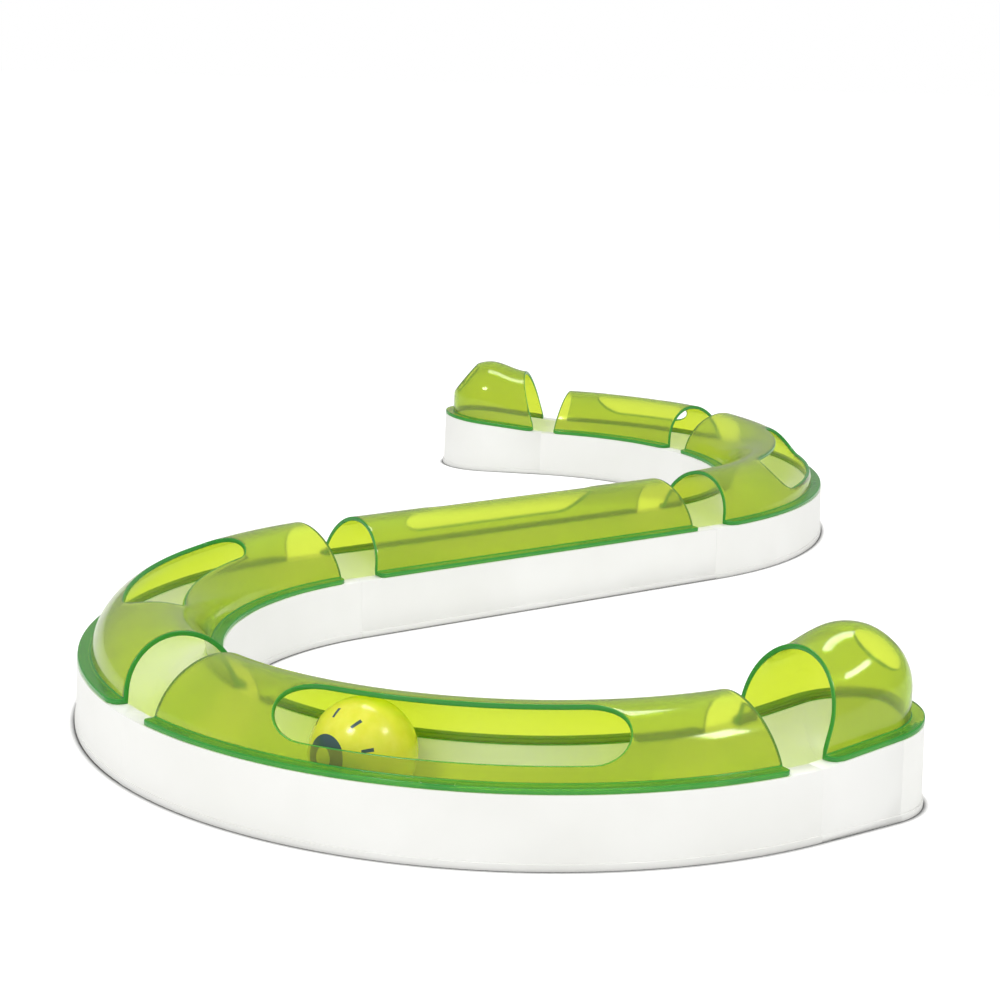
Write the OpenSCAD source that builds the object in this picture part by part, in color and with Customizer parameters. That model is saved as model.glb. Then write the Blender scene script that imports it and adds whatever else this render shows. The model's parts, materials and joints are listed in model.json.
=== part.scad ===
// Cat ball track: seven moulded track bases laid in an S, a clear clip-on cover on each, and a ball.
// The origin is on the floor at the middle of the box that the whole toy fits in.

/* [Track] */
// Radius of the track's centreline on every curved base
curve_r = 148.5; // [135:0.5:170]
// Width of a base across its foot lip
track_w = 60; // [58:1:70]
// Height of the base rim above the floor
rim_h = 26; // [25:0.5:30]
// Height of the channel's lowest line above the floor
channel_floor = 7; // [6:0.5:9]
// Length of the straight base
straight_len = 215; // [160:5:260]
// Angle turned by a full curve
full_sweep = 89.5; // [84:0.5:92]
// Angle turned by the short curve
short_sweep = 45; // [40:1:50]
// Direction of the seam where the front end base joins
seam_turn = -54.5; // [-60:0.5:-45]

/* [Base shells] */
// Thickness of a base's walls
base_wall = 2; // [1.6:0.1:2.4]
// How far the foot lip stands out from the wall
lip_out = 0.6; // [0.4:0.1:1]
// Height of the foot lip
lip_h = 2.5; // [2:0.1:4]
// How far the outer wall leans in from lip to rim
wall_draft = 0.6; // [0.3:0.1:1]
// Thickness of the stiffening ribs under the channel
rib_t = 1.6; // [1.2:0.1:2.2]
// Angle between the stiffening ribs of a curve
rib_step = 22.5; // [18:0.5:30]

/* [Joining tongues] */
// Length of a tongue beyond its base's end
tongue_len = 8; // [6:0.5:11]
// Thickness of a tongue
tongue_t = 2.6; // [2:0.1:2.8]
// Height of a tongue
tongue_h = 9; // [7:0.5:11]
// Height of a tongue's underside above the floor
tongue_z = 3.5; // [3:0.5:5]

/* [End pieces] */
// Length from the seam to the centre of the round end, which runs straight on from the curve
end_len = 37.5; // [30:0.5:46]
// How far the rim climbs from the seam to the tip of the round end
end_rise = 6.5; // [4:0.5:8]
// Height of the tall arch's centre above the rim
tall_arch_up = 11.1; // [9:0.1:13]
// Height of the dome's centre above the rim
dome_up = 16.5; // [14:0.5:19]
// Radius of the round hole in the dome
dome_hole_r = 11.5; // [9:0.5:13]
// Angle of the dome's hole above level
dome_hole_tilt = 38; // [32:1:45]

/* [Covers] */
// Thickness of the clear plastic
cover_wall = 2; // [1.6:0.1:2.4]
// Thickness of a cover's flange
flange_t = 2; // [1.6:0.1:2.6]
// Gap from the flange's edge in to the edge of the rim
flange_inset = 0.3; // [0.2:0.1:0.8]
// How far a high cover stops short of its base's end, which leaves a paw gap
cover_short = 8.8; // [6:0.2:12]
// How far a low cover stops short of its base's end
low_cover_short = 11.4; // [6:0.2:14]
// How far a dome's cover stops short of its base's end
dome_cover_short = 5.6; // [4:0.2:10]
// Height of a low cover's arch centre above the channel's centre
low_arch_up = -3.5; // [-3.9:0.1:0.5]
// Height of a high cover's arch centre above the channel's centre
high_arch_up = -2.5; // [-3.5:0.1:0.5]
// How far a low cover's end leans back at its ridge
end_lean = 4; // [2:0.5:12]
// How far a high cover's end leans back at its ridge
high_end_lean = 5; // [2:0.5:8]
// How far a dome's end leans back at its ridge
dome_end_lean = 9; // [2:0.5:12]
// Radius of a high cover's flange corners
corner_r = 5; // [3:0.5:7]

/* [Cover tabs] */
// Length of a snap tab along the track
tab_len = 11; // [6:0.5:12]
// Thickness of a snap tab
tab_t = 1.5; // [1.2:0.1:1.7]
// How far a snap tab reaches down below the rim
tab_down = 6; // [4:0.5:8]
// Distance of the outer tabs from the cover's ends
tab_inset = 16; // [9:1:18]

/* [Windows] */
// Angle along the track of a full curve's window
window_sweep = 44; // [30:1:50]
// Length of the straight cover's window
window_len = 110; // [80:5:130]
// Inner and outer edge of a slot window, from the ridge towards the outside
slot_edges = [5, 68]; // [0:1:75]
// Inner and outer edge of the left curve's window
left_edges = [-35, 27]; // [-40:1:45]

/* [Ball] */
// Diameter of the ball
ball_d = 38; // [34:0.5:39]
// Thickness of the ball's shell
ball_wall = 1.8; // [1.4:0.1:2.4]
// Gap from the ball to each side of the channel
ball_side_gap = 2.5; // [2:0.1:3]
// Depth of the step where the ball's halves fit together
ball_step = 2; // [1:0.2:3]
// Direction of the ball from the front circle's centre
ball_turn = -111.5; // [-115:0.5:-105]

/* [Fits] */
// Clearance round tongues, tabs and the resting ball
clearance = 0.3; // [0.2:0.05:0.4]

/* [Hidden] */
overrun = 1;
$fn = 144;

channel_r = ball_d / 2 + ball_side_gap;
channel_z = channel_floor + channel_r;
foot_half = track_w / 2;
wall_half = foot_half - lip_out;
rim_half = wall_half - wall_draft;
shell_r = channel_r + base_wall;
flange_half = rim_half - flange_inset;
cover_r = channel_r + cover_wall;
// Heights of the low and the high covers' arch centres above the rim
low_up = channel_z + low_arch_up - rim_h;
high_up = channel_z + high_arch_up - rim_h;
clip_offset = (shell_r + rim_half - base_wall) / 2;
end_slope = atan(end_rise / (end_len + foot_half));
end_rim_h = rim_h + 2 * end_rise;
beyond = curve_r + track_w;
// Middle radius of the step between the ball's halves
step_r = ball_d / 2 - ball_wall / 2;
// Thickness of the arch that a hood starts from
hood_slice = 0.1;
// Sides of a hood's round forms
hood_fn = 40;
// Steps of a full turn of a round end
end_fn = 120;
// Fine step where the round end meets the straight part
end_step = 0.1;

// Angles that a length takes on the centreline
end_wall_turn = base_wall * 180 / (PI * curve_r);
high_short_turn = cover_short * 180 / (PI * curve_r);
low_short_turn = low_cover_short * 180 / (PI * curve_r);
rib_turn = rib_t * 180 / (PI * curve_r);
tab_inset_turn = tab_inset * 180 / (PI * curve_r);

// Distance between the stiffening ribs along the centreline
rib_pitch = rib_step * PI * curve_r / 180;

// Directions of the straight base's seams from the front and the rear circle's centre
straight_turn = seam_turn - 2 * full_sweep;
rear_turn = straight_turn + 180;
rear_end_turn = rear_turn + full_sweep + short_sweep;

// How far the rear end piece reaches beyond the rear circle's back, and the straight base's middle
overhang = max(0, curve_r * (sin(rear_end_turn) - 1) + end_len * cos(rear_end_turn));
middle = [0, -overhang / 2, 0];

// The two circles that the curves lie on, with the straight base between them
span_x = 2 * curve_r * cos(straight_turn) + straight_len * sin(straight_turn);
span_y = 2 * curve_r * sin(straight_turn) - straight_len * cos(straight_turn);
front_centre = middle - [span_x / 2, span_y / 2, 0];
rear_centre = middle + [span_x / 2, span_y / 2, 0];

// Angle of the straight base's own X, and the places of its tabs along it
run_turn = straight_turn - 90;
straight_tabs = [
    -straight_len / 2 + low_cover_short + tab_inset, 0, straight_len / 2 - low_cover_short - tab_inset,
];

white = "#F4F4EF";
clear_green = [0.55, 0.75, 0.15, 0.6];
ball_yellow = "#D9E23A";

// Places a piece that starts at a given angle of the front or the rear circle
module on_front(turn) { translate(front_centre) rotate(turn) children(); }
module on_rear(turn) { translate(rear_centre) rotate(turn) children(); }

// Sweeps a section, drawn about the track's centreline, round the curve
module curve(sweep) { rotate_extrude(angle = sweep) translate([curve_r, 0]) children(); }

// Sweeps a section along an end piece, from one distance past its seam to another
module end_run(from, to) {
    translate([curve_r, to, 0])
        rotate([90, 0, 0])
            linear_extrude(to - from)
                children();
}

// Places parts of the straight base, which runs along its own X
module on_straight() { translate(middle) rotate(run_turn) children(); }

// Sweeps a section along the straight base
module run(from, to) {
    translate([from, 0, 0])
        rotate([90, 0, 90])
            linear_extrude(to - from)
                children();
}

// Half width of the leaning walls at a height
function half_at(z) = wall_half - wall_draft * (z - lip_h) / (rim_h - lip_h);

// Track section without its channel: foot lip, leaning walls and rim
module wall_section(top, inset = 0) {
    foot = foot_half - inset;
    wall = wall_half - inset;
    rim = half_at(top) - inset;
    polygon([
        [-foot, 0], [foot, 0], [foot, lip_h], [wall, lip_h],
        [rim, top], [-rim, top], [-wall, lip_h], [-foot, lip_h],
    ]);
}

// Half-round channel that the ball runs in, open at the top
module channel_section(top, inset = 0) {
    r = channel_r - inset;
    translate([0, channel_z]) circle(r);
    if (top > channel_z) {
        translate([-r, channel_z]) square([2 * r, top + overrun - channel_z]);
    }
}

// Space under the base between its walls and the channel's shell
module pocket_section(top) {
    difference() {
        polygon([
            [-wall_half + base_wall, -overrun], [wall_half - base_wall, -overrun],
            [wall_half - base_wall, lip_h], [half_at(top) - base_wall, top - base_wall],
            [-half_at(top) + base_wall, top - base_wall], [-wall_half + base_wall, lip_h],
        ]);
        translate([0, channel_z]) circle(shell_r);
        if (top > channel_z) {
            translate([-shell_r, channel_z]) square([2 * shell_r, top + overrun - channel_z]);
        }
    }
}

// Pair of tongues that stand out from a seam in the plane Y = 0, grown by a fit
module tongues(fit) {
    for (side = [-1, 1]) {
        translate([
            curve_r + side * clip_offset - tongue_t / 2 - fit,
            fit > 0 ? -overrun : 0,
            tongue_z - fit,
        ])
            cube([tongue_t + 2 * fit, tongue_len + fit + (fit > 0 ? overrun : 0), tongue_h + 2 * fit]);
    }
}

// Pair of slots in the rim for the snap tabs of a cover, or the tabs themselves, at the angle 0
module tab_pair(fit) {
    for (side = [-1, 1]) {
        translate([
            curve_r + side * clip_offset - tab_t / 2 - fit,
            -tab_len / 2 - fit,
            rim_h - tab_down - fit,
        ])
            cube([tab_t + 2 * fit, tab_len + 2 * fit, tab_down + fit + (fit > 0 ? overrun : flange_t / 2)]);
    }
}

// Angles of the tabs of a curve that turns by sweep, whose cover stops short by an angle
function tab_turns(sweep, short) = [short + tab_inset_turn, sweep / 2, sweep - short - tab_inset_turn];

// Base of a curve, with a socket at its start and tongues at its end
module curve_base(sweep, short) {
    pockets = round(sweep / rib_step);
    pocket_turn = (sweep - 2 * end_wall_turn - (pockets - 1) * rib_turn) / pockets;
    color(white) {
        difference() {
            curve(sweep) difference() {
                wall_section(rim_h);
                channel_section(rim_h);
            }
            for (i = [0 : pockets - 1]) {
                rotate(end_wall_turn + i * (pocket_turn + rib_turn))
                    curve(pocket_turn) pocket_section(rim_h);
            }
            tongues(clearance);
            for (turn = tab_turns(sweep, short)) rotate(turn) tab_pair(clearance);
        }
        rotate(sweep) tongues(0);
    }
}

// Everything above the rising rim of an end piece, lifted by a height
module above_rim(lift) {
    translate([curve_r, 0, rim_h + lift])
        rotate([end_slope, 0, 0])
            translate([-beyond, -beyond, 0])
                cube([2 * beyond, 2 * beyond, beyond]);
}

// Places something on the axis of an end piece's round end, facing away from the seam
module at_round_end() { translate([curve_r, end_len, 0]) children(); }

// Turns the outer half of a section half way round, from the end of the straight part to the tip
module round_end() {
    at_round_end() rotate_extrude(angle = 180, $fn = end_fn) intersection() {
        children();
        translate([0, -overrun]) square([beyond, beyond]);
    }
}

// Walls of an end piece, before its rim is cut to its slope
module end_section(inset = 0) {
    difference() {
        wall_section(end_rim_h, inset);
        channel_section(end_rim_h, inset);
    }
}

// Pocket of an end piece, whose roof is cut to the rim's slope
module end_pocket_section() { pocket_section(end_rim_h + base_wall); }

// Base of an end piece, whose rim climbs towards its round, closed end.
// The straight part runs a little past the start of the round end, so that the two join inside each other.
module end_base() {
    color(white) difference() {
        union() {
            end_run(0, end_len + base_wall / 2) end_section();
            round_end() end_section(end_step);
        }
        above_rim(0);
        difference() {
            union() {
                end_run(base_wall, end_len) end_pocket_section();
                round_end() end_pocket_section();
            }
            above_rim(-base_wall);
        }
        tongues(clearance);
        end_tabs(clearance);
    }
}

// Snap tabs of an end piece's cover, or their slots, beside the centre of its round end
module end_tabs(fit) {
    rise = end_len * tan(end_slope);
    translate([0, end_len, rise]) tab_pair(fit);
}

// Arch of a cover about the centreline, between a radius and the rim
module arch_section(r, up) {
    intersection() {
        union() {
            translate([0, rim_h + up]) circle(r);
            if (up > 0) translate([-r, rim_h - overrun]) square([2 * r, up + overrun]);
        }
        translate([-r, rim_h]) square([2 * r, up + r + overrun]);
    }
}

// Cover section: clear arch on a flat flange
module cover_section(up) {
    difference() {
        union() {
            arch_section(cover_r, up);
            translate([-flange_half, rim_h]) square([2 * flange_half, flange_t]);
        }
        translate([0, rim_h + up]) circle(cover_r - cover_wall);
        if (up > 0) {
            translate([-cover_r + cover_wall, rim_h - overrun])
                square([2 * (cover_r - cover_wall), up + overrun]);
        }
    }
}

// Wedge of a section that cuts a window between two angles from the ridge
module window_section(edges, up) {
    reach = 2 * cover_r;
    translate([0, rim_h + up])
        polygon([
            [0, 0], [reach * sin(edges[0]), reach * cos(edges[0])],
            [reach * sin((edges[0] + edges[1]) / 2), reach * cos((edges[0] + edges[1]) / 2)] * 2,
            [reach * sin(edges[1]), reach * cos(edges[1])],
        ]);
}

// Takes the corner off a flange at an end in the plane Y = 0, towards one side
module corner_cut(side) {
    translate([curve_r + side * flange_half, 0, rim_h - overrun])
        mirror([side > 0 ? 1 : 0, 0, 0])
            linear_extrude(flange_t + 2 * overrun)
                difference() {
                    translate([-overrun, -overrun]) square(corner_r + overrun);
                    translate([corner_r, corner_r]) circle(corner_r);
                }
}

// Leans a cover's end back towards its ridge, at an end in the plane Y = 0
module lean_cut(up, back) {
    lean = atan(back / (cover_r + up - flange_t / 2));
    translate([curve_r - beyond / 2, 0, rim_h + flange_t / 2])
        rotate([-lean, 0, 0])
            translate([0, -beyond, -flange_t])
                cube([beyond, beyond, beyond]);
}

// Cover of a curve: both kinds have leaning ends, and a high one has round flange corners too
module curve_cover(sweep, up, edges, opening, low) {
    short = low ? low_short_turn : high_short_turn;
    color(clear_green) {
        difference() {
            rotate(short) curve(sweep - 2 * short) cover_section(up);
            rotate((sweep - opening) / 2) curve(opening) window_section(edges, up);
            for (far = [0, 1]) {
                rotate(far * sweep) mirror([0, far, 0]) rotate(short) {
                    lean_cut(up, low ? end_lean : high_end_lean);
                    if (!low) {
                        corner_cut(-1);
                        corner_cut(1);
                    }
                }
            }
        }
        for (turn = tab_turns(sweep, short)) rotate(turn) tab_pair(0);
    }
}

// Hood of an end piece: a tall arch from a distance past the seam, rising smoothly into a dome
module hood(r, start) {
    hull($fn = hood_fn) {
        translate([curve_r, start, 0])
            rotate([90, 0, 0])
                linear_extrude(hood_slice) arch_section(r, tall_arch_up);
        at_round_end() translate([0, 0, rim_h + dome_up]) sphere(r, $fn = hood_fn);
        at_round_end() translate([0, 0, rim_h]) cylinder(r = r, h = dome_up, $fn = hood_fn);
    }
}

// Flange of an end piece's cover, which lies on the sloping rim, joined as the base's walls are
module end_flange() {
    intersection() {
        union() {
            end_run(dome_cover_short, end_len + base_wall / 2)
                translate([-flange_half, rim_h])
                    square([2 * flange_half, 3 * end_rise]);
            at_round_end() rotate_extrude(angle = 180, $fn = end_fn)
                translate([0, rim_h])
                    square([flange_half - end_step, 3 * end_rise]);
        }
        difference() {
            above_rim(0);
            above_rim(flange_t);
        }
    }
}

module end_cover() {
    color(clear_green) {
        difference() {
            union() {
                intersection() {
                    hood(cover_r, dome_cover_short);
                    above_rim(flange_t / 2);
                }
                end_flange();
            }
            hood(cover_r - cover_wall, 0);
            at_round_end()
                translate([0, 0, rim_h + dome_up])
                    rotate([dome_hole_tilt - 90, 0, 0])
                        cylinder(r = dome_hole_r, h = 2 * cover_r);
            translate([0, dome_cover_short, 0]) {
                lean_cut(tall_arch_up, dome_end_lean);
                corner_cut(-1);
                corner_cut(1);
            }
        }
        end_tabs(0);
    }
}

module base_front_end() { on_front(seam_turn) end_base(); }
module base_front_curve() { on_front(seam_turn - full_sweep) curve_base(full_sweep, low_short_turn); }
module base_left_curve() { on_front(seam_turn - 2 * full_sweep) curve_base(full_sweep, high_short_turn); }
module base_right_curve() { on_rear(rear_turn) curve_base(full_sweep, high_short_turn); }
module base_rear_curve() { on_rear(rear_turn + full_sweep) curve_base(short_sweep, high_short_turn); }
module base_rear_end() { on_rear(rear_end_turn) end_base(); }

// Brings parts made for a seam at the angle 0 to a place along the straight base
module along_straight(x) { translate([x, 0, 0]) rotate(-90) translate([-curve_r, 0, 0]) children(); }

module base_straight() {
    pockets = round(straight_len / rib_pitch);
    pocket_len = (straight_len - 2 * base_wall - (pockets - 1) * rib_t) / pockets;
    color(white) on_straight() {
        difference() {
            run(-straight_len / 2, straight_len / 2) difference() {
                wall_section(rim_h);
                channel_section(rim_h);
            }
            for (i = [0 : pockets - 1]) {
                from = -straight_len / 2 + base_wall + i * (pocket_len + rib_t);
                run(from, from + pocket_len) pocket_section(rim_h);
            }
            for (x = straight_tabs) along_straight(x) tab_pair(clearance);
        }
        for (far = [0, 1]) {
            mirror([1 - far, 0, 0]) along_straight(straight_len / 2) tongues(0);
        }
    }
}

module cover_straight() {
    half = straight_len / 2 - low_cover_short;
    color(clear_green) on_straight() {
        difference() {
            run(-half, half) cover_section(low_up);
            run(-window_len / 2, window_len / 2)
                mirror([1, 0]) window_section(slot_edges, low_up);
            for (far = [0, 1]) {
                mirror([1 - far, 0, 0])
                    along_straight(half) mirror([0, 1, 0]) lean_cut(low_up, end_lean);
            }
        }
        for (x = straight_tabs) along_straight(x) tab_pair(0);
    }
}

module cover_front_end() { on_front(seam_turn) end_cover(); }
module cover_front_curve() {
    on_front(seam_turn - full_sweep)
        curve_cover(full_sweep, low_up, slot_edges, window_sweep, true);
}
module cover_left_curve() {
    on_front(seam_turn - 2 * full_sweep)
        curve_cover(full_sweep, high_up, left_edges, window_sweep, false);
}
module cover_right_curve() {
    on_rear(rear_turn)
        curve_cover(full_sweep, high_up, slot_edges, window_sweep, false);
}
module cover_rear_curve() {
    on_rear(rear_turn + full_sweep)
        curve_cover(short_sweep, high_up, slot_edges, window_sweep * short_sweep / full_sweep, false);
}
module cover_rear_end() { on_rear(rear_end_turn) end_cover(); }

// Places the ball's halves about the ball's centre, with their seam along the track
module at_ball() {
    on_front(ball_turn)
        translate([curve_r, 0, channel_floor + clearance + ball_d / 2])
            rotate([0, 90, 0])
                children();
}

// Plain hollow half of the ball on the positive side of its seam
module ball_half() {
    rotate_extrude() difference() {
        intersection() {
            circle(ball_d / 2);
            square(ball_d);
        }
        circle(ball_d / 2 - ball_wall);
    }
}

// Ring between two radii that steps one half into the other
module step_ring(r_in, r_out, from, to) {
    rotate_extrude() translate([r_in, from]) square([r_out - r_in, to - from]);
}

module ball_outer_half() {
    color(ball_yellow) at_ball() {
        difference() {
            ball_half();
            step_ring(0, step_r, -overrun, ball_step);
        }
    }
}
module ball_inner_half() {
    tongue_out = step_r - clearance;
    color(ball_yellow) at_ball() {
        mirror([0, 0, 1]) ball_half();
        step_ring(tongue_out - ball_wall, tongue_out, 0, ball_step - clearance);
    }
}

base_front_end();
base_front_curve();
base_left_curve();
base_straight();
base_right_curve();
base_rear_curve();
base_rear_end();
cover_front_end();
cover_front_curve();
cover_left_curve();
cover_straight();
cover_right_curve();
cover_rear_curve();
cover_rear_end();
ball_outer_half();
ball_inner_half();
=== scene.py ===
import json
import math

import bmesh
import bpy
from mathutils import Matrix, Vector


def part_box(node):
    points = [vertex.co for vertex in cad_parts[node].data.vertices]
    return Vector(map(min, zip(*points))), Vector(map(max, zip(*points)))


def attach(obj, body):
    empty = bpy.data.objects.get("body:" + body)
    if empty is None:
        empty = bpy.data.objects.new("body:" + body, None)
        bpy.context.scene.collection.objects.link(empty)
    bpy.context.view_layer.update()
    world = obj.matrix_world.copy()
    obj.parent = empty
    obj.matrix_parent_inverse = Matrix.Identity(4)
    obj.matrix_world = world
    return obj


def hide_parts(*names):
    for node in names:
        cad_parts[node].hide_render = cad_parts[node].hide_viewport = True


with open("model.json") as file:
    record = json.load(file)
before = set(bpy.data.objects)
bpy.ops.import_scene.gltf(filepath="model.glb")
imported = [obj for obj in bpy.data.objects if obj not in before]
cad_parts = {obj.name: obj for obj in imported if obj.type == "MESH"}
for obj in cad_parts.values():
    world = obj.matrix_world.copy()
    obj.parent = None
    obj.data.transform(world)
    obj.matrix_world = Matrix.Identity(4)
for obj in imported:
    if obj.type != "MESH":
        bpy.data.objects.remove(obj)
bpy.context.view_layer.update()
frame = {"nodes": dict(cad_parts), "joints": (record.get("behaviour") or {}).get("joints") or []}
mm = 0.001

# Track bases: seven trays of white ABS, moulded hollow and joined end to end by tongues.
# The mould was lightly spark-eroded, so the walls come out satin with a very fine grain,
# and the channel that the ball runs in is a little smoother.
rim_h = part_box("base_front_curve")[1].z
track_half = 30 * mm
curve_r = 148.5 * mm


def linear(code):
    """Linear colour, with its alpha, of an sRGB hex code."""
    parts = [int(code[i:i + 2], 16) / 255 for i in (1, 3, 5)]
    return [p / 12.92 if p <= 0.04045 else ((p + 0.055) / 1.055) ** 2.4 for p in parts] + [1.0]


def put(tree, kind, settings={}, links={}):
    """Adds a node, with its settings and the outputs that its inputs take."""
    node = tree.nodes.new(kind)
    for key, value in settings.items():
        if key in node.inputs:
            node.inputs[key].default_value = value
        else:
            setattr(node, key, value)
    for key, output in links.items():
        tree.links.new(output, node.inputs[key])
    return node


def new_material(name):
    """A new material and its node tree, still empty."""
    made = bpy.data.materials.new(name)
    made.use_nodes = True
    made.node_tree.nodes.clear()
    return made, made.node_tree


def finish_with(piece, material):
    """Gives a piece one material."""
    piece.data.materials.clear()
    piece.data.materials.append(material)


white_grain = 0.9 * mm
white_patch = 60 * mm
grain_depth = 0.02 * mm
base_white, tree = new_material("moulded_white_abs")
place = put(tree, "ShaderNodeTexCoord").outputs["Object"]
grain = put(tree, "ShaderNodeTexNoise", {"Scale": 1 / white_grain, "Detail": 2.0}, {"Vector": place})
patch = put(tree, "ShaderNodeTexNoise", {"Scale": 1 / white_patch, "Detail": 3.0}, {"Vector": place})
tone = put(tree, "ShaderNodeValToRGB", {}, {"Fac": patch.outputs["Fac"]})
tone.color_ramp.elements[0].position = 0.35
tone.color_ramp.elements[0].color = linear("#F0F0EC")
tone.color_ramp.elements[1].position = 0.65
tone.color_ramp.elements[1].color = linear("#F6F6F3")
satin = put(tree, "ShaderNodeMapRange", {"To Min": 0.30, "To Max": 0.42}, {"Value": grain.outputs["Fac"]})
relief = put(tree, "ShaderNodeBump", {"Strength": 0.12, "Distance": grain_depth}, {"Height": grain.outputs["Fac"]})
abs_shader = put(
    tree, "ShaderNodeBsdfPrincipled", {"IOR": 1.53, "Specular IOR Level": 0.5},
    {"Base Color": tone.outputs["Color"], "Roughness": satin.outputs["Result"], "Normal": relief.outputs["Normal"]},
)
put(tree, "ShaderNodeOutputMaterial", {}, {"Surface": abs_shader.outputs["BSDF"]})


def select_only(piece):
    """Leaves one piece selected and active."""
    bpy.ops.object.select_all(action="DESELECT")
    piece.select_set(True)
    bpy.context.view_layer.objects.active = piece


def mould_base(node):
    """Copies a base's solid, merges it to one closed skin and rounds its edges as the mould does."""
    select_only(frame["nodes"][node])
    bpy.ops.object.duplicate()
    piece = bpy.context.object
    piece.name = node.replace("base_", "") + "_base"
    bpy.ops.mesh.customdata_custom_splitnormals_clear()
    bpy.ops.object.mode_set(mode="EDIT")
    bpy.ops.mesh.select_all(action="SELECT")
    bpy.ops.mesh.remove_doubles(threshold=seam_merge)
    bpy.ops.mesh.dissolve_limited(angle_limit=flat_enough)
    bpy.ops.object.mode_set(mode="OBJECT")
    soft = piece.modifiers.new("soft_edges", "BEVEL")
    soft.width = base_edge
    soft.segments = 2
    soft.limit_method = "ANGLE"
    soft.angle_limit = base_crease
    soft.harden_normals = True
    bpy.ops.object.modifier_apply(modifier=soft.name)
    bpy.ops.object.shade_smooth_by_angle(angle=base_crease)
    finish_with(piece, base_white)
    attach(piece, "track")
    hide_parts(node)


seam_merge = 0.001 * mm
flat_enough = math.radians(0.3)
base_edge = 0.4 * mm
base_crease = math.radians(35)
for name in list(frame["nodes"]):
    if name.startswith("base_"):
        mould_base(name)

# Front curve cover: a 2 mm shell of clear green SAN, injection moulded and polished, clipped on by six tabs.
# A low arch stands on a flat flange, its ends lean back to the ridge, and one long window opens outwards.
# The mould leaves every edge a little round.
cover_r = 23.5 * mm
cover_wall = 2 * mm
flange_top = rim_h + 2 * mm
flange_half = 28.5 * mm
flange_columns = (24.4 * mm, 25.9 * mm, 27.2 * mm, flange_half)
arch_sides = 72
row_pitch = 2 * mm
low_short = 11.4 * mm
tab_down = 6 * mm
tab_inset = 16 * mm
tab_half = 5.6 * mm
soft_edge = 0.45 * mm
rest_gap = 0.05 * mm
foot_clear = 0.4 * mm
underside_reach = 0.3 * mm
edge_crease = math.radians(50)
smooth_below = math.radians(40)
low_up = -1 * mm
low_ends = (4 * mm, 1.5 * mm)
lean_reach = 26 * mm
slot_edges = (5, 68)
window_turn = math.radians(44)
flow_size = 25 * mm
flow_depth = 0.3 * mm
edge_paint_share = 0.75
flange_paint_share = 0.75


def green_plastic(name, hazy, hazier):
    """Clear green SAN. Light that crosses it loses blue at once, then red, so one wall looks lime and two
    look green. At a moulded edge the light that ran along the wall comes out and looks dark green; here the
    edges' faces are painted an opaque dark green that stands in for that light, and the flange gets a fainter coat
    of it."""
    made, tree = new_material(name)
    place = put(tree, "ShaderNodeTexCoord").outputs["Object"]
    flow = put(tree, "ShaderNodeTexNoise", {"Scale": 1 / flow_size, "Detail": 1.0}, {"Vector": place})
    wave = put(tree, "ShaderNodeBump", {"Strength": 0.25, "Distance": flow_depth}, {"Height": flow.outputs["Fac"]})
    haze = put(tree, "ShaderNodeMapRange", {"To Min": hazy, "To Max": hazier}, {"Value": flow.outputs["Fac"]})
    glassy = put(
        tree, "ShaderNodeBsdfPrincipled",
        {"Base Color": linear("#EBE894"), "Transmission Weight": 0.9, "IOR": 1.45},
        {"Roughness": haze.outputs["Result"], "Normal": wave.outputs["Normal"]},
    )
    # Painted light: an opaque dark green for the edges, standing in for light carried along the wall to its edges
    painted_edge_light = put(
        tree, "ShaderNodeBsdfPrincipled", {"Base Color": linear("#229C38"), "IOR": 1.45, "Roughness": 0.2},
    )
    edge = put(tree, "ShaderNodeAttribute", {"attribute_name": "moulded_edge"})
    share = put(tree, "ShaderNodeMath", {"operation": "MULTIPLY"})
    tree.links.new(edge.outputs["Fac"], share.inputs[0])
    share.inputs[1].default_value = edge_paint_share
    walls = put(tree, "ShaderNodeMixShader", {}, {"Fac": share.outputs[0]})
    tree.links.new(glassy.outputs["BSDF"], walls.inputs[1])
    tree.links.new(painted_edge_light.outputs["BSDF"], walls.inputs[2])
    lamp_film = put(tree, "ShaderNodeBsdfTransparent", {"Color": linear("#DEE8D0")})
    ray = put(tree, "ShaderNodeLightPath")
    mix = put(tree, "ShaderNodeMixShader", {}, {"Fac": ray.outputs["Is Shadow Ray"]})
    tree.links.new(walls.outputs["Shader"], mix.inputs[1])
    tree.links.new(lamp_film.outputs["BSDF"], mix.inputs[2])
    body = put(tree, "ShaderNodeVolumeAbsorption", {"Color": linear("#EEF945"), "Density": 1000.0})
    put(tree, "ShaderNodeOutputMaterial", {}, {"Surface": mix.outputs["Shader"], "Volume": body.outputs["Volume"]})
    return made


cover_green = green_plastic("clear_green_san", 0.08, 0.13)


def pick(test, faces=False):
    """In edit mode, selects the vertices, or the faces by their middle, that pass a test."""
    bpy.ops.mesh.select_mode(type="FACE" if faces else "VERT")
    bpy.ops.mesh.select_all(action="DESELECT")
    mesh = bmesh.from_edit_mesh(bpy.context.edit_object.data)
    for item in mesh.faces if faces else mesh.verts:
        item.select_set(bool(test(item.calc_center_median() if faces else item.co)))
    mesh.select_flush_mode()
    bmesh.update_edit_mesh(bpy.context.edit_object.data)


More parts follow.
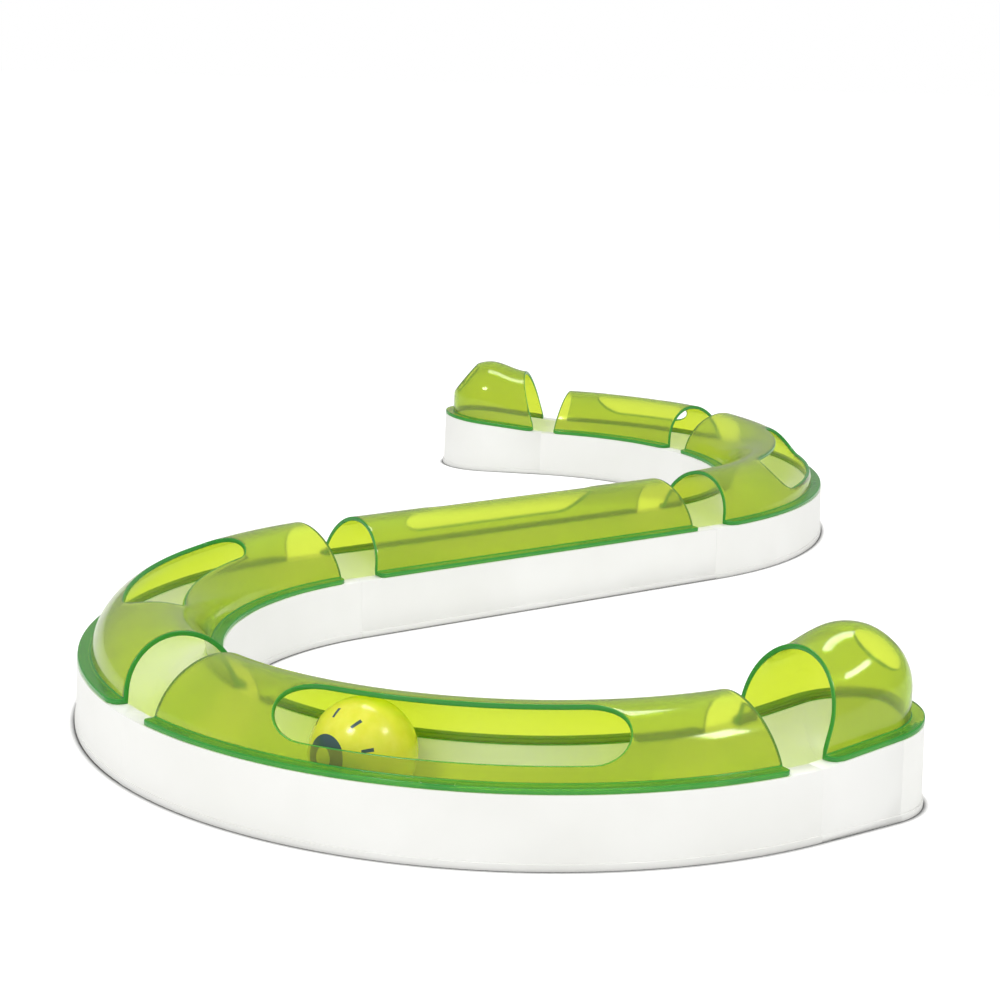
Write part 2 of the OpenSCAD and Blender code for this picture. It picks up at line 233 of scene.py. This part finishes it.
def draw_arch(up, rows_of_leg=0, half=False):
    """Draws a cover's top line at the angle 0 as the bent edge of a sheet: arch, legs, then flange."""
    bpy.ops.object.select_all(action="DESELECT")
    middle = Vector((curve_r, 0, rim_h + up))
    bpy.ops.mesh.primitive_circle_add(
        vertices=arch_sides, radius=cover_r, location=middle, rotation=(math.pi / 2, 0, 0),
    )
    piece = bpy.context.object
    bpy.ops.object.transform_apply(location=True, rotation=True, scale=False)
    bpy.ops.object.mode_set(mode="EDIT")
    lowest = max(middle.z, flange_top) + foot_clear
    pick(lambda co: co.z < lowest or (half and co.x < curve_r - rest_gap))
    bpy.ops.mesh.delete(type="VERT")
    for side in (1,) if half else (-1, 1):
        mesh = bmesh.from_edit_mesh(piece.data)
        end = min((v.co.copy() for v in mesh.verts if (v.co.x - curve_r) * side > 0), key=lambda co: co.z)
        foot = math.sqrt(cover_r ** 2 - max(flange_top - middle.z, 0) ** 2)
        stops = [
            Vector((curve_r + side * foot, 0, middle.z + (flange_top - middle.z) * k / max(rows_of_leg, 1)))
            for k in range(0 if rows_of_leg else 1, max(rows_of_leg, 1) + 1)
        ]
        stops += [Vector((curve_r + side * column, 0, flange_top)) for column in flange_columns]
        for stop in stops:
            pick(lambda co: (co - end).length < rest_gap / 10)
            bpy.ops.mesh.extrude_region_move(TRANSFORM_OT_translate={"value": stop - end})
            end = stop
    bpy.ops.object.mode_set(mode="OBJECT")
    return piece


def face_outwards(piece):
    """Turns a sheet's faces outwards, so that its ridge faces up, and leaves edit mode."""
    bpy.ops.mesh.select_all(action="SELECT")
    bpy.ops.mesh.normals_make_consistent(inside=False)
    bpy.ops.object.mode_set(mode="OBJECT")
    top = max(piece.data.polygons, key=lambda face: face.center.z)
    if top.normal.z < 0:
        piece.data.flip_normals()


def spin_sheet(piece, turn, about=Vector((0, 0, 0)), pitch=row_pitch, radius=curve_r):
    """Spins a drawn line into a sheet about an upright axis, with its faces outwards."""
    select_only(piece)
    bpy.ops.object.mode_set(mode="EDIT")
    bpy.ops.mesh.select_all(action="SELECT")
    steps = max(2, round(abs(turn) * radius / pitch))
    # Spin turns clockwise about an axis that points up
    bpy.ops.mesh.spin(steps=steps, angle=-turn, center=about, axis=(0, 0, 1))
    bpy.ops.mesh.select_all(action="SELECT")
    bpy.ops.mesh.remove_doubles(threshold=rest_gap)
    face_outwards(piece)


def on_curve(co):
    """Place along the centreline, place across it and height, of a point on a curve."""
    return math.atan2(co.y, co.x) * curve_r, math.hypot(co.x, co.y) - curve_r, co.z


def from_curve(along, across, z):
    """Point of a curve at such a place."""
    turn = along / curve_r
    return Vector(((curve_r + across) * math.cos(turn), (curve_r + across) * math.sin(turn), z))


def pulled_back(across, z, corner, lean, top):
    """How far a point of an end stands back, where the flange's corner is round and the arch leans."""
    inside = min(corner, max(0.0, corner - (flange_half - abs(across))))
    back = corner - math.sqrt(corner ** 2 - inside ** 2)
    return back + lean * max(0.0, (z - flange_top) / (top - flange_top))


def shape_ends(piece, length, lean, corner, up, read=on_curve, write=from_curve):
    """Leans a cover's ends back towards its ridge, and rounds its flange corners."""
    for vertex in piece.data.vertices:
        along, across, z = read(vertex.co)
        back = pulled_back(across, z, corner, lean, rim_h + up + cover_r)
        for far in (0, 1):
            away = length - along if far else along
            if away < lean_reach:
                along += (-1 if far else 1) * back * (1 - away / lean_reach)
        vertex.co = write(along, across, z)


def cut_window(piece, length, opening, edges, up, read=on_curve, write=from_curve):
    """Cuts a window with round ends between two angles from the ridge, and slides its rim to the outline."""
    middle_z = rim_h + up
    half_high = math.radians(edges[1] - edges[0]) / 2 * cover_r
    centre_turn = math.radians(edges[0] + edges[1]) / 2
    half_long = opening / 2

    def unroll(co):
        along, across, z = read(co)
        return along - length / 2, (math.atan2(across, z - middle_z) - centre_turn) * cover_r

    def outline(u, v):
        """Nearest point of the outline's own middle line, and the distance from it."""
        core = max(-(half_long - half_high), min(half_long - half_high, u))
        return core, math.hypot(u - core, v)

    select_only(piece)
    bpy.ops.object.mode_set(mode="EDIT")
    pick(lambda co: co.z > flange_top + rest_gap and outline(*unroll(co))[1] < half_high, faces=True)
    bpy.ops.mesh.delete(type="FACE")
    mesh = bmesh.from_edit_mesh(piece.data)
    for vertex in mesh.verts:
        if vertex.is_boundary and vertex.co.z > flange_top + rest_gap:
            u, v = unroll(vertex.co)
            core, away = outline(u, v)
            if abs(away - half_high) < 2 * row_pitch and away > 0:
                u = core + (u - core) * half_high / away
                turn = v * half_high / away / cover_r + centre_turn
                vertex.co = write(
                    u + length / 2, cover_r * math.sin(turn), middle_z + cover_r * math.cos(turn),
                )
    bmesh.update_edit_mesh(piece.data)
    bpy.ops.object.mode_set(mode="OBJECT")


def give_wall(piece, tab_places, read=on_curve, up_at=lambda co: 0.0):
    """Gives a sheet its wall, draws its snap tabs down from the flange and softens every edge. The edges' faces
    and, more faintly, the flange's are marked for the painted dark green that stands in for light carried out at the
    edges."""
    select_only(piece)
    piece.data.materials.append(cover_green)
    piece.data.materials.append(cover_green)
    wall = piece.modifiers.new("wall", "SOLIDIFY")
    wall.thickness = cover_wall - rest_gap
    wall.offset = -1
    wall.use_even_offset = True
    wall.material_offset_rim = 1
    bpy.ops.object.modifier_apply(modifier=wall.name)
    bpy.ops.object.mode_set(mode="EDIT")
    underside = rim_h + rest_gap

    def is_tab(co):
        along, across, z = read(co)
        in_column = flange_columns[0] < abs(across) < flange_columns[1]
        return in_column and abs(z - up_at(co) - underside) < underside_reach and any(
            abs(along - place) < tab_half - row_pitch / 2 for place in tab_places
        )

    pick(is_tab, faces=True)
    bpy.ops.mesh.extrude_region_move(TRANSFORM_OT_translate={"value": (0, 0, -tab_down)})
    bpy.ops.object.mode_set(mode="OBJECT")
    soft = piece.modifiers.new("soft_edges", "BEVEL")
    soft.width = soft_edge
    soft.segments = 3
    soft.limit_method = "ANGLE"
    soft.angle_limit = edge_crease
    soft.use_clamp_overlap = False
    soft.material = 1
    bpy.ops.object.modifier_apply(modifier=soft.name)
    bpy.ops.object.shade_smooth_by_angle(angle=smooth_below)
    # Painted light: edge faces get the full painted dark green, flange faces a fainter share of it
    mark = piece.data.attributes.new("moulded_edge", "FLOAT", "FACE")
    for face in piece.data.polygons:
        across, z = read(face.center)[1:]
        in_flange = abs(across) > cover_r and z - up_at(face.center) < flange_top + soft_edge
        mark.data[face.index].value = max(face.material_index, flange_paint_share if in_flange else 0)
        face.material_index = 0


def settle(piece, name, centre, turn, body, node):
    """Turns a piece about its circle's centre to its place, and seats it on its body."""
    piece.name = name
    piece.location = centre
    piece.rotation_euler = (0, 0, turn)
    select_only(piece)
    bpy.ops.object.transform_apply(location=True, rotation=True, scale=True)
    finish_with(piece, cover_green)
    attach(piece, body)
    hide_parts(node)


def tabs_along(length):
    """Places of the outer and the middle tabs along a cover."""
    return (tab_inset, length / 2, length - tab_inset)


def curve_cover(name, node, centre, start, sweep, up, short, ends, edges, opening):
    """Cover of a curve that starts at an angle of its circle."""
    length = sweep * curve_r - 2 * short
    piece = draw_arch(up)
    spin_sheet(piece, length / curve_r)
    shape_ends(piece, length, *ends, up)
    cut_window(piece, length, opening * curve_r, edges, up)
    give_wall(piece, tabs_along(length))
    settle(piece, name, centre, start + short / curve_r, node + "_body", node)


front_centre = Vector(next(j["pos_m"] for j in frame["joints"] if j["name"] == "ball_travel")).xy.to_3d()
straight_low, straight_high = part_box("base_straight")
middle = ((Vector(straight_low) + Vector(straight_high)) / 2).xy.to_3d()
rear_centre = 2 * middle - front_centre
seam_turn = math.radians(-54.5)
full_sweep = math.radians(89.5)
short_sweep = math.radians(45)
curve_cover(
    "front_curve_cover", "cover_front_curve", front_centre, seam_turn - full_sweep, full_sweep,
    low_up, low_short, low_ends, slot_edges, window_turn,
)

# Left, right and rear curve covers: the same clear green SAN shell, a little higher, with rounder flange
# corners. The left one's window is at the top, so a paw reaches straight down, and the rear one turns only
# half as far.
high_up = 0
high_short = 8.8 * mm
high_ends = (5 * mm, 5 * mm)
left_edges = (-35, 27)
rear_turn = seam_turn - 2 * full_sweep + math.pi
curve_cover(
    "left_curve_cover", "cover_left_curve", front_centre, seam_turn - 2 * full_sweep, full_sweep,
    high_up, high_short, high_ends, left_edges, window_turn,
)
curve_cover(
    "right_curve_cover", "cover_right_curve", rear_centre, rear_turn, full_sweep,
    high_up, high_short, high_ends, slot_edges, window_turn,
)
curve_cover(
    "rear_curve_cover", "cover_rear_curve", rear_centre, rear_turn + full_sweep, short_sweep,
    high_up, high_short, high_ends, slot_edges, window_turn * short_sweep / full_sweep,
)

# Straight cover: the low cover again, drawn out straight between the two circles, with the same window
# on its outer side, six tabs and leaning ends.
straight_len = 215 * mm
straight_window = 110 * mm
run_turn = rear_turn + math.pi / 2


def on_straight(co):
    """Place along the run, place across it and height, of a point on the straight."""
    return co.y, curve_r - co.x, co.z


def from_straight(along, across, z):
    """Point of the straight at such a place."""
    return Vector((curve_r - across, along, z))


def draw_out(piece, length):
    """Draws a line out into a sheet along Y, with its faces outwards."""
    select_only(piece)
    bpy.ops.object.mode_set(mode="EDIT")
    bpy.ops.mesh.select_all(action="SELECT")
    steps = round(length / row_pitch)
    for step in range(steps):
        bpy.ops.mesh.extrude_region_move(TRANSFORM_OT_translate={"value": (0, length / steps, 0)})
    face_outwards(piece)


cover_len = straight_len - 2 * low_short
straight = draw_arch(low_up)
draw_out(straight, cover_len)
shape_ends(straight, cover_len, *low_ends, low_up, on_straight, from_straight)
cut_window(straight, cover_len, straight_window, slot_edges, low_up, on_straight, from_straight)
give_wall(straight, tabs_along(cover_len), on_straight)
straight.data.transform(Matrix.Translation((-curve_r, -cover_len / 2, 0)))
settle(
    straight, "straight_cover", middle, run_turn - math.radians(90),
    "cover_straight_body", "cover_straight",
)

# Dome covers: the two closed ends run straight on, under a tall arch of the same green SAN that swells into
# a dome. A round hole in the dome faces along the track, and the flange climbs with the base's rim.
end_len = 37.5 * mm
end_rise = 6.5 * mm
dome_short = 5.6 * mm
tall_up = 11.1 * mm
dome_up = 16.5 * mm
leg_rows = 5
hole_r = 11.5 * mm
hole_tilt = math.radians(38)
slope = end_rise / (end_len + track_half)
dome_lean = 9 * mm
dome_pitch = 1.5 * mm


def climb(co):
    """How much the rim has climbed at a point."""
    return slope * co.y


def swell(piece, start, reach):
    """Raises a tall arch smoothly to the dome's height, bends its foot to the climbing rim, rounds its flange
    corners and leans its end back."""
    spring = rim_h + tall_up
    for vertex in piece.data.vertices:
        along, across, z = on_straight(vertex.co)
        share = min(1.0, max(0.0, (along - start) / reach))
        lift = (dome_up - tall_up) * share * share * (3 - 2 * share)
        up = min(1.0, max(0.0, (z - flange_top) / (spring - flange_top)))
        back = pulled_back(across, z, high_ends[1], dome_lean, spring + cover_r)
        vertex.co = from_straight(along + back * (1 - share), across, z)
        vertex.co.z += lift * up + climb(vertex.co) * (1 - up)


def dome_cover(name, node, centre, start):
    """Cover of a closed end whose seam is at an angle of its circle."""
    arch = draw_arch(tall_up, leg_rows)
    draw_out(arch, end_len - dome_short)
    arch.data.transform(Matrix.Translation((0, dome_short, 0)))
    dome = draw_arch(tall_up, leg_rows, half=True)
    spin_sheet(dome, math.pi, Vector((curve_r, 0, 0)), dome_pitch, cover_r)
    dome.data.transform(Matrix.Translation((0, end_len, 0)))
    select_only(dome)
    arch.select_set(True)
    bpy.context.view_layer.objects.active = arch
    bpy.ops.object.join()
    bpy.ops.object.mode_set(mode="EDIT")
    bpy.ops.mesh.select_all(action="SELECT")
    bpy.ops.mesh.remove_doubles(threshold=rest_gap)
    bpy.ops.mesh.normals_make_consistent(inside=False)
    bpy.ops.object.mode_set(mode="OBJECT")
    swell(arch, dome_short, end_len - dome_short)
    core = Vector((curve_r, end_len, rim_h + dome_up))
    axis = Vector((0, math.cos(hole_tilt), math.sin(hole_tilt)))
    open_turn = math.asin(hole_r / cover_r)
    select_only(arch)
    bpy.ops.object.mode_set(mode="EDIT")
    pick(lambda co: (co - core).angle(axis) < open_turn, faces=True)
    bpy.ops.mesh.delete(type="FACE")
    mesh = bmesh.from_edit_mesh(arch.data)
    for vertex in mesh.verts:
        away = (vertex.co - core).angle(axis)
        if vertex.is_boundary and abs(away - open_turn) * cover_r < 2 * row_pitch:
            turned = Matrix.Rotation(open_turn - away, 4, axis.cross(vertex.co - core))
            vertex.co = core + turned @ (vertex.co - core)
    bmesh.update_edit_mesh(arch.data)
    bpy.ops.object.mode_set(mode="OBJECT")
    give_wall(arch, (end_len,), on_straight, climb)
    settle(arch, name, centre, start, node + "_body", node)


dome_cover("front_dome_cover", "cover_front_end", front_centre, seam_turn)
dome_cover("rear_dome_cover", "cover_rear_end", rear_centre, rear_turn + full_sweep + short_sweep)

# Ball: two thin shells of lime ABS pushed together at a step, polished by rolling, with a plain ring and a few
# short ticks printed in slate round one side.
ball_lime, tree = new_material("polished_lime_abs")
place = put(tree, "ShaderNodeTexCoord").outputs["Object"]
scuff_size = 4 * mm
scuff = put(tree, "ShaderNodeTexNoise", {"Scale": 1 / scuff_size, "Detail": 4.0}, {"Vector": place})
gloss = put(tree, "ShaderNodeMapRange", {"To Min": 0.12, "To Max": 0.28}, {"Value": scuff.outputs["Fac"]})
tone = put(tree, "ShaderNodeValToRGB", {}, {"Fac": scuff.outputs["Fac"]})
tone.color_ramp.elements[0].position = 0.3
tone.color_ramp.elements[0].color = linear("#DEE03A")
tone.color_ramp.elements[1].position = 0.7
tone.color_ramp.elements[1].color = linear("#E6E64A")

ball_low, ball_high = (Vector(corner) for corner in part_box("ball_outer_half"))
ball_low = Vector(map(min, ball_low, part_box("ball_inner_half")[0]))
ball_high = Vector(map(max, ball_high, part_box("ball_inner_half")[1]))
print_axis = Vector((-0.66, -0.74, 0.1))
ball_r = (ball_high.z - ball_low.z) / 2
to_ball = Matrix.Translation((ball_low + ball_high) / 2) @ print_axis.to_track_quat("Z", "Y").to_matrix().to_4x4()
ball_turned = to_ball.inverted() @ frame["nodes"]["ball_outer_half"].matrix_world
local = put(tree, "ShaderNodeMapping", {"vector_type": "POINT"}, {"Vector": place})
local.inputs["Location"].default_value = ball_turned.to_translation()
local.inputs["Rotation"].default_value = ball_turned.to_euler()
parts = put(tree, "ShaderNodeSeparateXYZ", {}, {"Vector": local.outputs["Vector"]})


def calc(operation, first, second=0.0):
    """Output of a maths node on sockets or numbers."""
    made = put(tree, "ShaderNodeMath", {"operation": operation})
    for socket, value in zip(made.inputs, (first, second)):
        if isinstance(value, (int, float)):
            socket.default_value = value
        else:
            tree.links.new(value, socket)
    return made.outputs[0]


def between(value, low, high):
    """1 where a value lies between two others, else 0."""
    return calc("MULTIPLY", calc("GREATER_THAN", value, low), calc("LESS_THAN", value, high))


tilt = calc("ARCCOSINE", calc("DIVIDE", parts.outputs["Z"], ball_r))
round_by = calc("ARCTAN2", parts.outputs["Y"], parts.outputs["X"])
ring = between(tilt, math.radians(10), math.radians(25))
tick_pitch = math.radians(40)
tick_half = math.radians(2.4)
step_at = calc("PINGPONG", calc("ADD", round_by, math.pi), tick_pitch / 2)
tick_band = between(tilt, math.radians(44), math.radians(57))
ticks = calc("MULTIPLY", calc("LESS_THAN", step_at, tick_half), tick_band)
printed = calc("MAXIMUM", ring, ticks)
slate = put(
    tree, "ShaderNodeMixRGB", {"Color2": linear("#3F5A5A")}, {"Fac": printed, "Color1": tone.outputs["Color"]},
)
lime = put(
    tree, "ShaderNodeBsdfPrincipled", {"IOR": 1.53, "Subsurface Weight": 0.2, "Subsurface Scale": 2 * mm},
    {"Base Color": slate.outputs["Color"], "Roughness": gloss.outputs["Result"]},
)
put(tree, "ShaderNodeOutputMaterial", {}, {"Surface": lime.outputs["BSDF"]})
for name in ("ball_outer_half", "ball_inner_half"):
    finish_with(frame["nodes"][name], ball_lime)

# Stage: a white floor that keeps the toy's shadow, with a painted contact shadow, a dark line where the toy stands
# on it, soft light from a pale room, and three soft boxes. The camera stands where the photograph was taken.
contact_reach = 3 * mm
floor_glow = 0.28


def looking_rays(tree):
    """The light path, and 1 for rays that come from the camera or through clear plastic."""
    ray = put(tree, "ShaderNodeLightPath")
    seen = put(tree, "ShaderNodeMath", {"operation": "MAXIMUM"})
    tree.links.new(ray.outputs["Is Camera Ray"], seen.inputs[0])
    tree.links.new(ray.outputs["Is Transmission Ray"], seen.inputs[1])
    return ray, seen.outputs[0]


floor_white, tree = new_material("white_studio_floor")
# Painted contact shadow: ambient occlusion darkens the floor towards black within a few millimetres of the toy
contact = put(tree, "ShaderNodeAmbientOcclusion", {"samples": 8, "Distance": contact_reach})
under = put(
    tree, "ShaderNodeMapRange", {"From Min": 0.5, "From Max": 0.95, "To Min": 0.0}, {"Value": contact.outputs["AO"]},
)
matte = put(tree, "ShaderNodeBsdfDiffuse", {"Color": linear("#F3F3F2")})
glow = put(tree, "ShaderNodeEmission")
shade = put(tree, "ShaderNodeBsdfDiffuse", {"Color": linear("#000000")})
seen = looking_rays(tree)[1]
glow_on = put(tree, "ShaderNodeMath", {"operation": "MULTIPLY"})
tree.links.new(seen, glow_on.inputs[0])
glow_on.inputs[1].default_value = floor_glow
tree.links.new(glow_on.outputs[0], glow.inputs["Strength"])
both = put(tree, "ShaderNodeAddShader")
tree.links.new(matte.outputs[0], both.inputs[0])
tree.links.new(glow.outputs[0], both.inputs[1])
laid = put(tree, "ShaderNodeMixShader", {}, {"Fac": under.outputs["Result"]})
tree.links.new(shade.outputs[0], laid.inputs[1])
tree.links.new(both.outputs[0], laid.inputs[2])
put(tree, "ShaderNodeOutputMaterial", {}, {"Surface": laid.outputs[0]})
bpy.ops.object.select_all(action="DESELECT")
bpy.ops.mesh.primitive_plane_add(size=30, location=(0, 0, 0))
floor = bpy.context.object
floor.name = "floor"
finish_with(floor, floor_white)

room = bpy.data.worlds.new("pale_room")
room.use_nodes = True
room.node_tree.nodes.clear()
tree = room.node_tree
ray, seen = looking_rays(tree)
mirrored = put(tree, "ShaderNodeMapRange", {"To Min": 0.82, "To Max": 0.4}, {"Value": ray.outputs["Is Glossy Ray"]})
level = put(
    tree, "ShaderNodeMapRange", {"To Max": 1.0},
    {"Value": seen, "To Min": mirrored.outputs["Result"]},
)
sky = put(tree, "ShaderNodeBackground", {"Color": linear("#FFFFFF")}, {"Strength": level.outputs["Result"]})
put(tree, "ShaderNodeOutputWorld", {}, {"Surface": sky.outputs[0]})
bpy.context.scene.world = room


def soft_box(name, width, height, place, aim, power):
    """A rectangular lamp at a place, facing a point."""
    bpy.ops.object.light_add(type="AREA", location=place)
    lamp = bpy.context.object
    lamp.name = name
    lamp.data.shape = "RECTANGLE"
    lamp.data.size = width
    lamp.data.size_y = height
    lamp.data.energy = power
    lamp.rotation_euler = (Vector(aim) - Vector(place)).to_track_quat("-Z", "Y").to_euler()


soft_box("key_box", 0.24, 0.2, (-0.5, -0.8, 0.95), (0, -0.2, 0), 3)
soft_box("side_box", 0.2, 0.16, (0.75, -0.55, 0.9), (0, -0.2, 0), 1.6)
soft_box("strip_box", 0.5, 0.3, (0.1, 0.5, 1.3), (0, 0, 0), 3.5)

camera_place = Vector((-7.8 * mm, -1012.7 * mm, 263.8 * mm))
camera_pitch = math.radians(12.09)
camera_roll = math.radians(1.5)
bpy.ops.object.camera_add(location=middle + camera_place)
camera = bpy.context.object
turn = Matrix.Rotation(math.radians(90) - camera_pitch, 3, "X") @ Matrix.Rotation(camera_roll, 3, "Z")
camera.rotation_euler = turn.to_euler()
camera.data.sensor_width = 36
camera.data.lens = 76.0
camera.data.clip_start = 0.01
camera.data.clip_end = 100
bpy.context.scene.camera = camera
bpy.context.scene.view_settings.view_transform = "Standard"
